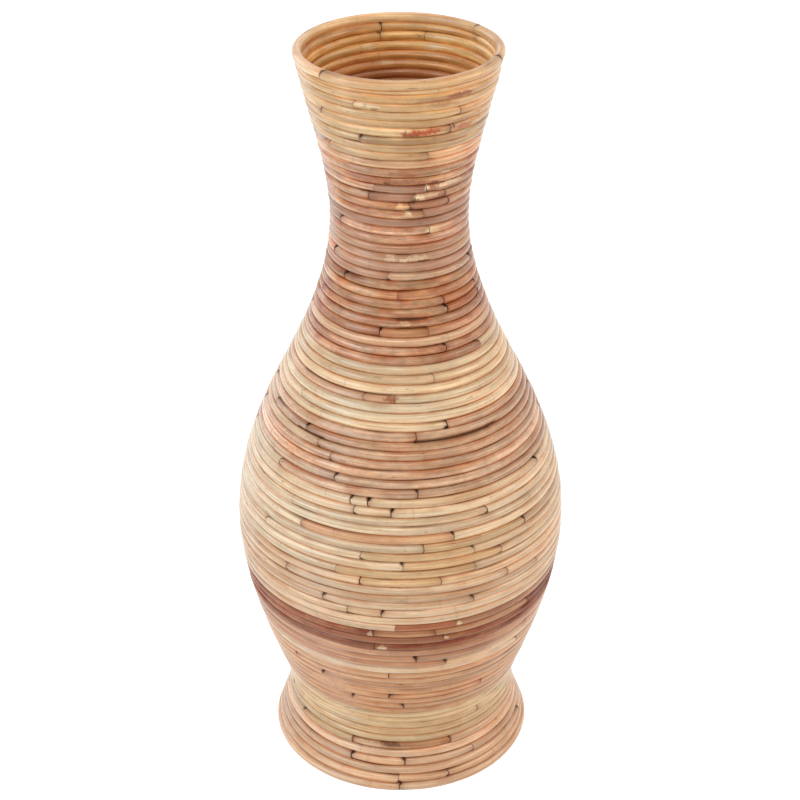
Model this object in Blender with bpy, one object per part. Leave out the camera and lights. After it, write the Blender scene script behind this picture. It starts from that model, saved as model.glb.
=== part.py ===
"""Rattan vase: round canes laid end to end in one climbing spiral, between a level foot ring and a
level mouth rim, with a plywood base panel and its cane hoop inside the foot.

Metres, +Z up. The origin is on the floor, under the middle of the foot. The front looks along -Y.
"""

import math

import bmesh
import bpy
import numpy as np

# Outline of the wall, at the crests of the canes. A slope is change of radius over change of height.
VASE_HEIGHT = 0.680
FOOT_RADIUS = 0.1210
FOOT_SLOPE = -0.335
WAIST_HEIGHT = 0.056
WAIST_RADIUS = 0.1066
BOWL_HEIGHT = 0.110
BOWL_RADIUS = 0.1214
BOWL_SLOPE = 0.347
BELLY_HEIGHT = 0.238
BELLY_RADIUS = 0.1480
SHOULDER_HEIGHT = 0.385
SHOULDER_RADIUS = 0.1050
SHOULDER_SLOPE = -0.505
NECK_HEIGHT = 0.533
NECK_RADIUS = 0.0590
MOUTH_RADIUS = 0.0873
MOUTH_SLOPE = 0.18

# Canes
CANE_DIAMETER = 0.0074
COURSE_GAP = 0.0006
JOINT_GAP = 0.0003
TAIL_SHARE = 0.2
FOOT_FLAT = 0.0005

# Base, held inside the foot
PANEL_THICKNESS = 0.006
PANEL_HEIGHT = 0.030
PANEL_EDGE = 0.0008
FIT_GAP = 0.0003

# Facets
COURSE_STEPS = 20
COURSE_SIDES = 5
FOOT_SIDES = 8
RIM_STEPS = 40
RIM_SIDES = 8
HOOP_SIDES = 6
PANEL_STEPS = 40
WALL_SAMPLES = 4001
SHARP_ANGLE = math.radians(80)

# The spiral climbs clockwise, seen from above, and starts here
SPIRAL_START = math.radians(270)

# Depth of the uppermost band, from the top of the rim
MOUTH_BAND = 0.083

# Bands of the spiral from the foot up: name, height of its upper end, how many canes, colour
BANDS = (
    ("foot_cane", 0.046, 4, "pink_tan"),
    ("waist_cane", 0.084, 3, "olive_straw"),
    ("bowl_cane", 0.177, 7, "rose_tan"),
    ("dark_band_cane", 0.206, 2, "red_brown"),
    ("belly_cane", 0.331, 9, "cream_straw"),
    ("upper_band_cane", 0.375, 4, "terracotta"),
    ("shoulder_cane", 0.430, 4, "pale_straw"),
    ("neck_cane", VASE_HEIGHT - MOUTH_BAND, 12, "dusty_brown"),
    ("mouth_cane", VASE_HEIGHT, 6, "golden_tan"),
)

# Where the canes of the two level rings meet, in degrees round from +X
FOOT_JOINTS = (108, 270)
RIM_JOINTS = (36, 225, 342)

# Colours as seen, in sRGB from 0 to 255
COLOURS = {
    "pink_tan": (212, 164, 126),
    "olive_straw": (212, 182, 132),
    "rose_tan": (205, 156, 118),
    "red_brown": (142, 94, 74),
    "cream_straw": (219, 184, 138),
    "terracotta": (189, 134, 104),
    "pale_straw": (218, 184, 134),
    "dusty_brown": (178, 128, 98),
    "golden_tan": (211, 163, 116),
    "plywood": (198, 160, 118),
}
CANE_ROUGHNESS = 0.5
PLYWOOD_ROUGHNESS = 0.75


def stations():
    """Height, radius and slope of each point that the outline passes through."""
    return (
        (0.0, FOOT_RADIUS, FOOT_SLOPE),
        (WAIST_HEIGHT, WAIST_RADIUS, 0.0),
        (BOWL_HEIGHT, BOWL_RADIUS, BOWL_SLOPE),
        (BELLY_HEIGHT, BELLY_RADIUS, 0.0),
        (SHOULDER_HEIGHT, SHOULDER_RADIUS, SHOULDER_SLOPE),
        (NECK_HEIGHT, NECK_RADIUS, 0.0),
        (VASE_HEIGHT, MOUTH_RADIUS, MOUTH_SLOPE),
    )


def outline(heights):
    """Crest radius at each height: a cubic between stations, and straight past both ends."""
    (low, low_radius, low_slope), *_, (high, high_radius, high_slope) = stations()
    radii = np.where(
        heights < low,
        low_radius + low_slope * (heights - low),
        high_radius + high_slope * (heights - high),
    )
    for (z0, r0, m0), (z1, r1, m1) in zip(stations()[:-1], stations()[1:]):
        inside = (heights >= z0) & (heights <= z1)
        u = (heights[inside] - z0) / (z1 - z0)
        rise = (z1 - z0) * (u * (1 - u) ** 2 * m0 - u * u * (1 - u) * m1)
        radii[inside] = r0 + (r1 - r0) * u * u * (3 - 2 * u) + rise
    return radii


def section_reach(sides):
    """How far a section's corners lie from its middle, for a section as tall as 2."""
    return 1 / max(math.sin(math.tau * corner / sides) for corner in range(sides))


class Wall:
    """The line through the middles of the courses, measured along its length from the foot ring."""

    def __init__(self):
        heights = np.linspace(-CANE_DIAMETER, VASE_HEIGHT + CANE_DIAMETER, WALL_SAMPLES)
        crest = outline(heights)
        slope = np.gradient(crest, heights)
        lean = np.hypot(1, slope)
        inset = CANE_DIAMETER / 2 * section_reach(COURSE_SIDES)
        self.radius = crest - inset / lean
        self.height = heights + inset * slope / lean
        steps = np.hypot(np.diff(self.radius), np.diff(self.height))
        self.along = np.concatenate([[0.0], np.cumsum(steps)])
        self.along -= self.at_height(CANE_DIAMETER / 2 - FOOT_FLAT)
        self.length = self.at_height(VASE_HEIGHT - CANE_DIAMETER / 2)
        self.out_r = np.gradient(self.height, self.along)
        self.out_z = -np.gradient(self.radius, self.along)

    def at_height(self, height):
        return float(np.interp(height, self.height, self.along))

    def point(self, along):
        """Radius, height and outward direction of the wall's middle line."""
        columns = (self.radius, self.height, self.out_r, self.out_z)
        return [float(np.interp(along, self.along, column)) for column in columns]

    def inner_radius(self, height):
        """Radius of the wall's inner face at this height, and its slope there."""
        inset = CANE_DIAMETER / 2 * section_reach(COURSE_SIDES) * math.cos(math.pi / COURSE_SIDES)
        inner_height = self.height - inset * self.out_z
        inner = self.radius - inset * self.out_r
        slope = np.gradient(inner, inner_height)
        return float(np.interp(height, inner_height, inner)), float(np.interp(height, inner_height, slope))


def cane_section(wall, low, high, sides):
    """Corners (radius, height) of a cane that fills the wall from low to high along its line."""
    radius, height, out_r, out_z = wall.point((low + high) / 2)
    reach = section_reach(sides)
    wide = CANE_DIAMETER / 2 * reach
    tall = (high - low - COURSE_GAP) / 2 * reach
    corners = []
    for corner in range(sides):
        turn = math.tau * corner / sides
        out, up = wide * math.cos(turn), tall * math.sin(turn)
        corners.append((radius + out * out_r - up * out_z, height + out * out_z + up * out_r))
    return corners


def cut_below(corners, floor):
    """A section with everything under the floor cut off flat."""
    kept = []
    for (r0, z0), (r1, z1) in zip(corners, corners[1:] + corners[:1]):
        if z0 >= floor:
            kept.append((r0, z0))
        if (z0 - floor) * (z1 - floor) < 0:
            share = (floor - z0) / (z1 - z0)
            kept.append((r0 + share * (r1 - r0), floor))
    return kept


def placed(corners, angle):
    """A section stood up at an angle round the vase."""
    across = (math.cos(angle), math.sin(angle))
    return np.array([(r * across[0], r * across[1], z) for r, z in corners])


def trimmed(sections, gap):
    """Sections with half the gap taken off each end."""
    trimmed_ends = list(sections)
    for end, beside in ((0, 1), (-1, -2)):
        middle = sections[end].mean(axis=0)
        reach = np.linalg.norm(sections[beside].mean(axis=0) - middle)
        share = gap / 2 / reach
        trimmed_ends[end] = sections[end] * (1 - share) + sections[beside] * share
    return trimmed_ends


def loft(name, sections, colour, closed=False):
    """A solid through the sections, with flat ends, or joined up in a ring."""
    mesh = bmesh.new()
    rows = [[mesh.verts.new(point) for point in section] for section in sections]
    pairs = list(zip(rows[:-1], rows[1:]))
    if closed:
        pairs.append((rows[-1], rows[0]))
    for row, following in pairs:
        for corner in range(len(row)):
            beside = (corner + 1) % len(row)
            mesh.faces.new((row[corner], row[beside], following[beside], following[corner]))
    if not closed:
        mesh.faces.new(rows[0])
        mesh.faces.new(rows[-1])
    return finished(name, mesh, colour)


def linear(channel):
    """One sRGB channel from 0 to 255, as scene-linear light."""
    share = channel / 255
    return share / 12.92 if share <= 0.04045 else ((share + 0.055) / 1.055) ** 2.4


def material(colour):
    """A Principled material in one of the named colours, made once."""
    if colour in bpy.data.materials:
        return bpy.data.materials[colour]
    made = bpy.data.materials.new(colour)
    made.use_nodes = True
    shader = made.node_tree.nodes["Principled BSDF"]
    rgba = [linear(channel) for channel in COLOURS[colour]] + [1.0]
    shader.inputs["Base Color"].default_value = rgba
    shader.inputs["Roughness"].default_value = PLYWOOD_ROUGHNESS if colour == "plywood" else CANE_ROUGHNESS
    shader.inputs["Metallic"].default_value = 0.0
    made.diffuse_color = rgba
    return made


def finished(name, mesh, colour):
    """The object of a mesh, with its faces out, smooth shading and its material."""
    bmesh.ops.recalc_face_normals(mesh, faces=mesh.faces)
    data = bpy.data.meshes.new(name)
    mesh.to_mesh(data)
    mesh.free()
    data.shade_smooth()
    data.set_sharp_from_angle(angle=SHARP_ANGLE)
    data.materials.append(material(colour))
    made = bpy.data.objects.new(name, data)
    bpy.context.scene.collection.objects.link(made)
    return made


def spiral_sections(wall):
    """One section for each step of the spiral.

    A course lies between one pitch and the next along the wall. The first and last turns are shaved to
    long wedges against the level rings.
    """
    pitch = CANE_DIAMETER + COURSE_GAP
    lowest, highest = pitch / 2, wall.length - pitch / 2
    first = math.ceil(TAIL_SHARE * COURSE_STEPS)
    last = math.floor(((highest - lowest) / pitch + 1 - TAIL_SHARE) * COURSE_STEPS)
    sections, middles = [], []
    for step in range(first, last + 1):
        climbed = lowest + pitch * (step / COURSE_STEPS - 1)
        low, high = max(lowest, climbed), min(highest, climbed + pitch)
        angle = SPIRAL_START - math.tau * step / COURSE_STEPS
        sections.append(placed(cane_section(wall, low, high, COURSE_SIDES), angle))
        middles.append((low + high) / 2)
    return sections, middles


def report_least_gap(sections):
    """Prints the least distance from a course to the one on top of it, between their nearest edges."""
    highest = max(range(COURSE_SIDES), key=lambda corner: math.sin(math.tau * corner / COURSE_SIDES))
    upper_edge = np.array([section[highest] for section in sections[:-COURSE_STEPS]])
    lower_edge = np.array([section[COURSE_SIDES - highest] for section in sections[COURSE_STEPS:]])
    least = np.linalg.norm(lower_edge - upper_edge, axis=1).min()
    print(f"least gap between courses of the spiral: {least * 1000:.2f} mm")


def spiral_canes(wall):
    """The canes of the spiral, end to end, so many to each band."""
    sections, middles = spiral_sections(wall)
    report_least_gap(sections)
    start = 0
    for band, top, canes, colour in BANDS:
        end = int(np.searchsorted(middles, wall.at_height(top)))
        end = min(end, len(sections) - 1)
        joints = [round(start + (end - start) * share / canes) for share in range(canes + 1)]
        for number, (begins, ends) in enumerate(zip(joints[:-1], joints[1:]), 1):
            loft(f"{band}_{number:02d}", trimmed(sections[begins : ends + 1], JOINT_GAP), colour)
        start = end


def level_ring(name, corners, joints, steps, colour):
    """A level course made of one cane between each joint and the next."""
    for number, joint in enumerate(joints):
        following = joints[(number + 1) % len(joints)]
        span = (following - joint) % 360
        count = round(span / 360 * steps)
        angles = [math.radians(joint + span * step / count) for step in range(count + 1)]
        sections = [placed(corners, angle) for angle in angles]
        loft(f"{name}_{number + 1}", trimmed(sections, JOINT_GAP), colour)


def foot_ring(wall):
    pitch = CANE_DIAMETER + COURSE_GAP
    corners = cut_below(cane_section(wall, -pitch / 2, pitch / 2, FOOT_SIDES), 0.0)
    level_ring("foot_ring_cane", corners, FOOT_JOINTS, COURSE_STEPS, "pink_tan")


def mouth_rim(wall):
    pitch = CANE_DIAMETER + COURSE_GAP
    corners = cane_section(wall, wall.length - pitch / 2, wall.length + pitch / 2, RIM_SIDES)
    level_ring("mouth_rim_cane", corners, RIM_JOINTS, RIM_STEPS, "golden_tan")


def base_panel(wall):
    """A plywood disc, wedged up into the foot where the wall draws in."""
    edges = (PANEL_HEIGHT, PANEL_HEIGHT + PANEL_THICKNESS)
    inner = min(wall.inner_radius(edge)[0] for edge in edges)
    radius = inner * math.cos(math.pi / COURSE_STEPS) - FIT_GAP
    mesh = bmesh.new()
    bmesh.ops.create_cone(
        mesh, cap_ends=True, segments=PANEL_STEPS, radius1=radius, radius2=radius, depth=PANEL_THICKNESS
    )
    bmesh.ops.translate(mesh, verts=mesh.verts, vec=(0, 0, PANEL_HEIGHT + PANEL_THICKNESS / 2))
    panel = finished("base_panel", mesh, "plywood")
    edge = panel.modifiers.new("eased edge", "BEVEL")
    edge.width = PANEL_EDGE
    edge.segments = 1


def base_hoop(wall):
    """A cane ring inside the foot, close under the base panel."""
    thick = CANE_DIAMETER / 2
    height = PANEL_HEIGHT - FIT_GAP - thick
    inner, slope = wall.inner_radius(height)
    radius = inner - (thick + FIT_GAP) * math.hypot(1, slope)
    turns = [math.tau * (corner + 0.5) / HOOP_SIDES for corner in range(HOOP_SIDES)]
    corners = [(radius + thick * math.cos(turn), height + thick * math.sin(turn)) for turn in turns]
    sections = [placed(corners, math.tau * step / COURSE_STEPS) for step in range(COURSE_STEPS)]
    loft("base_hoop", sections, "pink_tan", closed=True)


def clear_scene():
    for existing in list(bpy.data.objects):
        bpy.data.objects.remove(existing, do_unlink=True)


def main():
    clear_scene()
    wall = Wall()
    foot_ring(wall)
    spiral_canes(wall)
    mouth_rim(wall)
    base_panel(wall)
    base_hoop(wall)


main()
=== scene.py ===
"""Looks of the rattan vase. Each solid of the spiral is shown as the shorter round canes that lie end to
end in it, with cut ends, growth rings, stains and chips, in the colours of the vase's bands.

Metres, +Z up. The front looks along -Y. Places on the spiral are counted in turns from its start at the
foot, and whole turns lie at the front.
"""

import math

import bpy
import numpy as np
from mathutils import Matrix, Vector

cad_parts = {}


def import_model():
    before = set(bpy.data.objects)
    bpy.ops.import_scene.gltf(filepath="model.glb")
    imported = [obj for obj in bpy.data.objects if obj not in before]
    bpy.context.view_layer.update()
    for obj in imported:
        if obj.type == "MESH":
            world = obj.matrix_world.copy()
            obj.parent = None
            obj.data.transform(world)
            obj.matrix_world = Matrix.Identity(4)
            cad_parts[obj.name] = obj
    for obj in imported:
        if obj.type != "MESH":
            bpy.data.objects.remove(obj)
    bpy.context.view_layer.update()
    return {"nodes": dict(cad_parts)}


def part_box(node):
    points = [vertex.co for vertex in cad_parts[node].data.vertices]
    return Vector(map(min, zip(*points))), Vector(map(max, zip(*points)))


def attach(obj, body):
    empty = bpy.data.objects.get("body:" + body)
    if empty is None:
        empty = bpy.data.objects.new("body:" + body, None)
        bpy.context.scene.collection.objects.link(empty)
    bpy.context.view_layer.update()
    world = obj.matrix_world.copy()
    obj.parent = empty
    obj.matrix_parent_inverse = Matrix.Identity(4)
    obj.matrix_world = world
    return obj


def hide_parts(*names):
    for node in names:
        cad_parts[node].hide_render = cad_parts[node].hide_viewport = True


# Outline of the wall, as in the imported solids: height, crest radius and slope of each station
STATIONS = (
    (0.0, 0.1210, -0.335),
    (0.056, 0.1066, 0.0),
    (0.110, 0.1214, 0.347),
    (0.238, 0.1480, 0.0),
    (0.385, 0.1050, -0.505),
    (0.533, 0.0590, 0.0),
    (0.680, 0.0873, 0.18),
)
VASE_HEIGHT = 0.680
PITCH = 0.008
SOLID_DIAMETER = 0.0074
SOLID_REACH = 1.0515
FOOT_FLAT = 0.0005
FOOT_INSIDE = 0.117
TAIL_SHARE = 0.2
TAIL_TIP = 0.005
SOLID_STEPS = 20
SPIRAL_START = math.radians(270)
OUTLINE_POINTS = 4001
MOST_TURNS = 90
TURN_STEP = 0.01

# Solids of the spiral from the foot up: name, height of the band's upper end, how many, material slot
SOLIDS = (
    ("foot_cane", 0.046, 4, "pink_tan"),
    ("waist_cane", 0.084, 3, "olive_straw"),
    ("bowl_cane", 0.177, 7, "rose_tan"),
    ("dark_band_cane", 0.206, 2, "red_brown"),
    ("belly_cane", 0.331, 9, "cream_straw"),
    ("upper_band_cane", 0.375, 4, "terracotta"),
    ("shoulder_cane", 0.430, 4, "pale_straw"),
    ("neck_cane", 0.597, 12, "dusty_brown"),
    ("mouth_cane", VASE_HEIGHT, 6, "golden_tan"),
)

# Where canes meet in the foot ring and the mouth rim, in degrees
FOOT_JOINTS = (108, 270)
RIM_JOINTS = (36, 225, 342)

# Round canes
CANE_RADIUS = 0.00398
CANE_SIDES = 16
SQUARENESS = 0.86
PRESSED_IN = 0.00003
THINNEST = 0.0006
SLIMMING = 0.03
GIRTH_SPREAD = 0.012
SQUEEZE = 0.003
WEDGE_WIDTH = 0.5
PINCH = 0.4
SWAY_REACH = 0.0002
UNEVENNESS = 0.0004
FOOT_FLARE = 0.001
FLARE_REACH = 0.045
MOUTH_DROP = 0.0012
DROP_REACH = 0.08

# Sections of a cane: the usual step, and more of them at its ends, rings, patches and thin sides
CANE_STEP = 0.0042
LEAST_STEP = 0.0002
END_SECTIONS = np.array([0, 0.0003, 0.0007, 0.0014, 0.0026])
RING_SECTIONS = np.array([-0.0013, -0.0005, 0, 0.0005, 0.0013])
PATCH_SECTIONS = np.linspace(-0.6, 0.6, 19)
THIN_BLEND = 0.003

# Growth rings
FIRST_RING = (0.02, 0.2)
RING_SPACING = (0.16, 0.3)
RING_CLEAR = 0.01
RING_REACH = 0.0009
RING_SWELL = 0.02
RING_DARKNESS = 0.14

# Joints: how wide each kind stands open, and the narrower core in them, painted dark as the gap's shade
JOINT_GAP = 0.0003
PLAIN_GAP = (0.0001, 0.0005)
SEEN_GAP = (0.0004, 0.0011)
LEVEL_GAP = 0.0007
CORE_GAP = 0.00002
CORE_STEP = 0.1
CORE_SHARE = 0.86
CORE_SHADE = 0.3

# Joints added where a cane would get too long: how long it may be, where they lie at the back, in turns
# past the front, and how far from other joints
LONGEST_CANE = 0.85
LENGTH_SHARES = (0.75, 1.0)
BACK_TURNS = (0.28, 0.72)
CLEAR_TURNS = 0.1

# Cut ends: their rounding, slant, lift, pits, wear and stains; pits and worn sides are painted dark as
# shade
END_ROUNDING = 0.05
ROUNDING_REACH = 0.0004
SLANTS = (0.25, 0.6)
SLANT_REACH = 0.003
LIFTS = (-0.0003, 0.0005)
LIFT_REACH = 0.006
PIT_LIKELY = 0.35
SEEN_PIT_LIKELY = 0.85
PIT_DEPTHS = (0.6, 1.0)
PIT_REACHES = (0.0009, 0.002)
PIT_PAINTED_SHADE = 0.8
WEAR_LIKELY = 0.5
WEAR_DEPTHS = (0.3, 0.8)
WEAR_REACHES = (0.004, 0.022)
LEVEL_WEAR = 0.6
STAINS = (0.05, 0.55)
STAIN_REACHES = (0.0008, 0.006)

# Seeds of the draws, how finely a place along the spiral makes one, and numbers of the level canes
SEEDS_A_TURN = 1000
JOINT_SEED = 21
CANE_SEED = 1000
PIT_SEED = 13
GAP_SEED = 7
FOOT_RING_NUMBER = 700
MOUTH_RIM_NUMBER = 800
BASE_HOOP_NUMBER = 900

# Where the runs of the level canes begin on the drifts, and the fibres of each cane after the last's
LEVEL_RUN_START = 70
FIBRE_STEP = 1.37

# Parts of a section: where across it each begins, from -1 to 1, and how steeply it comes up to 1
OUTER_FACE = (0.3, 3)
INNER_FACE = (0.3125, -1.6)
SIDE_HALF = (0, 2.5)
GROOVE_HALF = (0.5, 2)
GROOVE_EDGE = (0.8, 5.6)
PIT_EDGE = (0.25, 2.2)
LEAST_OUTWARD = -0.3

# How red, green and blue follow a stain, the painted shade of an open groove, brown, warmth, yellowness
# and tone
STAIN_SHARES = np.array([0.8, 1.1, 1.35])
GROOVE_SHARES = np.array([1.0, 1.15, 1.25])
BROWN_SHARES = np.array([0.35, 0.9, 1.3])
WARM_SHARES = np.array([0.0, 0.35, 0.8])
YELLOW_SHARES = np.array([0.0, 0.4, 1.0])
PALING = np.array([1.0, 1.12, 1.35])

# How canes differ in tone and yellowness, and how tone and warmth change along one
TONE_SPREAD = 0.04
MOTTLE_SPREAD = 0.35
YELLOW_SPREAD = 0.06
TONE_BLOTCHES = 0.7
WARMTH_DRIFT = 0.7
WARMTH_BLOTCHES = 0.4

# Brown sides, and painted shade in the grooves, which wanders along them
BROWNING = 2.2
BROWN_EDGE = (0, 2)
GROOVE_SHADING_BLOTCHES = 0.5
UNSHADED_SHARE = 0.3
PLAIN_GROOVE_SHADING = 0.8
MOTTLED_GROOVE_SHADING = 1.6
MOST_GROOVE_SHADING = 0.75
DARKEST_GROOVE = 0.03
DARKEST_PIT = 0.04

# How far along the same drift a second use of it reads
SQUEEZE_STRETCH = 3
WARMTH_STRETCH = 50
BROWN_STRETCH = 21
GROOVE_SHADING_STRETCH = 9
BLOTCH_STRETCH = 5

# Painted shade and light on the inner side of the wall: red, green and blue by turns, against those of the
# outer side, darkest about turn 81 and lighter near the rim
INSIDE_TURNS = (78.0, 81.2, 82.0, 83.0, 84.2, 85.0, 86.0)
INSIDE_LIGHT_AND_SHADE = np.array([[1.0, 0.85, 0.7], [0.76, 0.51, 0.36], [0.92, 0.64, 0.48], [1.34, 1.14, 0.85],
                         [0.95, 0.81, 0.6], [1.72, 1.75, 1.44], [1.25, 1.19, 1.06]])

# Painted light in the grooves of the mouth, against their shade: the turn from which, over how many turns,
# and by how much
MOUTH_START = 77.5
MOUTH_BLEND = 2
MOUTH_GROOVE_LIGHT = np.array([0.38, 0.55, 0.7])

# Patches: how far aside they lie, half their width there and in the middle, edge, and missing skin
PATCH_ASIDE = 0.45
SIDE_PATCH = 0.5
MIDDLE_PATCH = 0.8
PATCH_STEEPNESS = 1.8
TORN_SHARE = 0.8
TORN_REACH = 1.4
TORN_STEP = 0.0137
SKIN_DEPTH = 0.05

# UV map: margin and filled share of a row, spare steps of its length, and the cut ends above the rows
ROW_MARGIN = 0.04
ROW_FILLED = 0.92
SPARE_STEPS = 1.2
CAPS_IN_ROW = 24
CAPS_FROM = 0.25
CAP_ROW = 0.4
CAP_SIZE = 0.15
CAP_RINGS = (0.6, 0.8, 1.0)
SHARP_FROM = math.radians(50)

# Lamps: name, place, height that it aims at, size, power, colour
COOL = (0.83, 1.0, 1.22)
WARM = (1.1, 0.96, 0.83)
MILD = (1.05, 0.98, 0.93)
LAMPS = (
    ("left", (-2.1, -1.4, 1.3), 0.35, 1.8, 27.5, COOL),
    ("back left", (-1.9, 1.6, 1.3), 0.35, 1.5, 10, COOL),
    ("right", (2.5, -0.5, 1.2), 0.35, 1.7, 17, WARM),
    ("front", (-0.1, -2.2, 2.6), 0.4, 1.2, 14.5, MILD),
)

# Studio: light all round, and the floor with the glow that makes it look white
FILL = (1.0, 0.985, 0.96, 1)
FILL_STRENGTH = 0.6
WHITE = (1, 1, 1, 1)
FLOOR_REACH = 7.0
FLOOR_GREY = (0.86, 0.86, 0.86, 1)
FLOOR_GLOW = 0.6

# Camera, fitted to the photograph: frame and focal length in pixels, tilt and roll in degrees, place
FRAME_PIXELS = 800
FOCAL_PIXELS = 1930
SENSOR_WIDTH = 36
CAMERA_TILT = 29.70
CAMERA_ROLL = 0.22
CAMERA_PLACE = (0, -2.2 * VASE_HEIGHT, 1.768 * VASE_HEIGHT)

# Skin of the canes: each noise's scale across and along the fibres, detail and roughness
SKIN_NOISES = {
    "fine": ((1200, 1200, 18), 3, 0.6),
    "soft": ((150, 150, 11), 2),
    "slow": ((90, 90, 6), 1),
    "fleck": ((420, 420, 80), 2, 0.6),
    "streak": ((480, 480, 16), 3, 0.6),
    "line": ((620, 620, 9), 2, 0.6),
    "dash": ((260, 260, 130), 3, 0.6),
}

# The same of the pores in a cut end, and of the plywood's veins and clouds
PORE_NOISE = ((2600, 2600, 30), 2)
VEIN_NOISE = ((14, 260, 60), 4, 0.6)
CLOUD_NOISE = ((5, 22, 5), 2)

# What a noise, grain, height or colour is turned into: from, to, and the results at both
FINE_TONE = (0.3, 0.7, 0.9, 1.08)
SOFT_TONE = (0.3, 0.7, 0.93, 1.07)
STREAK_TONE = (0.38, 0.62, 0.86, 1.12)
DASH_TONE = (0.35, 0.65, 0.84, 1.14)
DASHED_GRAIN = (1.0, 2.2, 0.3, 1.0)
SLOW_BROWN = (0.5, 0.72, 0.0, 0.45)
LINE_BROWN = (0.5, 0.6, 0.0, 0.45)
LINE_PALE = (0.4, 0.5, 0.9, 0.0)
FLECKED = (0.66, 0.75, 0.0, 0.7)
IN_GROOVE = (0.0024, 0.0039, 0.0, 0.8)
COATED = (0.01, 0.25, 0.0, 0.8)
ROUGHNESS = (0.25, 0.75, 0.4, 0.6)
PIT_ROUGHNESS = (0.01, 0.06, 0.4, 0.0)
POROUS = (0.5, 0.62, 0.0, 1.0)
VEINED = (0.3, 0.7, 0.0, 1.0)
CLOUDED = (0.4, 0.7, 0.0, 0.45)
GLUED = (0.0011, 0.0013, 0.0, 0.55)
ON_EDGE = (0.2, 0.5, 1.0, 0.0)
BOARD_ROUGHNESS = (0.3, 0.7, 0.62, 0.82)

# Tints over a cane's own colour, and colours of the plywood
BROWNER = (0.84, 0.66, 0.46)
PALER = (1.14, 1.2, 1.26)
FLECK = (0.42, 0.3, 0.22)
# Painted light in the grooves, against their shade
GROOVE_PAINTED_LIGHT = (1.12, 1.02, 1.08)
PITH = (0.55, 0.46, 0.38)
PORE = (0.2, 0.15, 0.11)
VENEER = (0.62, 0.41, 0.23, 1)
VEIN = (0.47, 0.28, 0.14, 1)
CLOUD = (0.40, 0.23, 0.11, 1)
GLUE = (0.2, 0.11, 0.06, 1)
PLY = 0.0024

# The hoop: its clearance, where its joint is in degrees, and how much slimmer and darker it is
HOOP_CLEAR = 0.0002
HOOP_JOINT = 35
HOOP_GIRTH = 0.98
HOOP_SHADE = 0.8

# Colours of the canes as seen, sRGB
PALETTE = {
    "pink_tan": (206, 164, 123),
    "olive_brown": (168, 118, 72),
    "olive_straw": (205, 171, 121),
    "rose_tan": (200, 149, 98),
    "pale_course": (209, 177, 138),
    "mid_tan": (177, 125, 81),
    "red_brown": (141, 79, 32),
    "orange_brown": (177, 118, 66),
    "warm_cream": (215, 179, 137),
    "cream_straw": (212, 182, 142),
    "terracotta": (199, 158, 121),
    "pale_straw": (218, 188, 146),
    "brick": (199, 153, 114),
    "dusty_brown": (189, 139, 100),
    "brown_mauve": (189, 140, 96),
    "peach": (233, 183, 133),
    "golden_tan": (198, 157, 102),
    "dark_brown": (164, 108, 70),
    "dark_mauve": (176, 124, 90),
    "burnt_orange": (176, 106, 50),
    "umber": (146, 88, 46),
    "rust": (164, 96, 52),
    "fire_red": (172, 66, 8),
    "dried_brown": (152, 84, 34),
    "burnt": (92, 50, 22),
    "skinless": (232, 202, 158),
    "pale_peach": (210, 166, 125),
    "deep_mauve": (172, 124, 90),
    "light_dusty": (196, 148, 110),
    "light_gold": (213, 170, 113),
    "straw_gold": (198, 160, 110),
    "gold_brown": (186, 146, 96),
    "light_rim": (204, 160, 106),
    "rim_gold": (218, 177, 124),
}

# Runs of the spiral in one colour: turns up to which it goes, colour
RUNS = (
    (4.6, "pink_tan"),
    (10.6, "olive_straw"),
    (18.6, "rose_tan"),
    (19.6, "pale_course"),
    (22.6, "mid_tan"),
    (26.004, "red_brown"),
    (32.5, "warm_cream"),
    (42.6, "cream_straw"),
    (48.6, "terracotta"),
    (55.7, "pale_straw"),
    (60.5, "dusty_brown"),
    (64.5, "brown_mauve"),
    (70.5, "dusty_brown"),
    (77.4, "brown_mauve"),
    (79.5, "peach"),
    (MOST_TURNS, "golden_tan"),
)

# Single canes that stand out: colour, and from where to where they lie, in turns
ODD_CANES = {
    "olive_brown": ((4.932, 5.068),),
    "rose_tan": ((18.499, 18.86), (36.95, 37.101)),
    "umber": ((23.96, 24.07),),
    "orange_brown": ((24.86, 24.968), (24.968, 25.025), (25.559, 25.948), (58.95, 59.034)),
    "rust": ((25.948, 26.004),),
    "straw_gold": ((31.964, 32.037), (32.93, 33.06), (33.9, 34.0), (34.93, 35.036), (35.866, 35.979)),
    "terracotta": ((41.41, 41.984), (41.984, 42.148), (64.8, 65.02)),
    "warm_cream": ((46.1, 46.33), (47.2, 47.4)),
    "brick": ((52.005, 52.32),),
    "pale_peach": ((57.72, 58.25),),
    "burnt_orange": ((60.8, 60.907), (61.8, 61.91)),
    "deep_mauve": ((65.02, 66.175), (70.15, 71.95)),
    "light_dusty": ((66.6, 68.35),),
    "dark_brown": ((72.89, 72.982), (73.9, 73.972)),
    "dark_mauve": ((73.972, 74.06), (74.947, 75.05)),
    "gold_brown": ((78.95, 79.14), (79.32, 80.6)),
    "dusty_brown": ((79.14, 79.32),),
    "light_gold": ((82.25, 83.143), (83.9, 85.068)),
}

# How much the canes of a colour are mottled
PLAIN_MOTTLE = 0.09
MOTTLED = {
    "dusty_brown": 0.22,
    "brown_mauve": 0.22,
    "red_brown": 0.26,
    "terracotta": 0.15,
    "rose_tan": 0.11,
    "golden_tan": 0.12,
    "peach": 0.12,
}

# Joints that show on the front and inside the mouth, in turns
SEEN_JOINTS = (
    0.941, 1.002, 1.782, 2.997, 3.066, 5.162, 7.887, 12.0, 13.058, 14.012, 16.092, 17.13, 18.012,
    19.954, 20.986, 23.025, 28.016, 28.932, 29.074, 30.894, 31.116, 31.964, 32.037, 34.0,
    35.036, 35.866, 35.979, 37.101, 38.911, 40.007, 40.046, 40.824, 41.032, 41.05, 41.984, 42.148,
    43.07, 45.081, 47.124, 47.982, 48.941, 56.922, 59.034, 60.907, 61.91, 64.126, 66.175, 69.937,
    72.982, 73.972, 74.947, 81.065, 81.913, 83.143, 85.068, 85.464, 86.468, 86.656,
)

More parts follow.
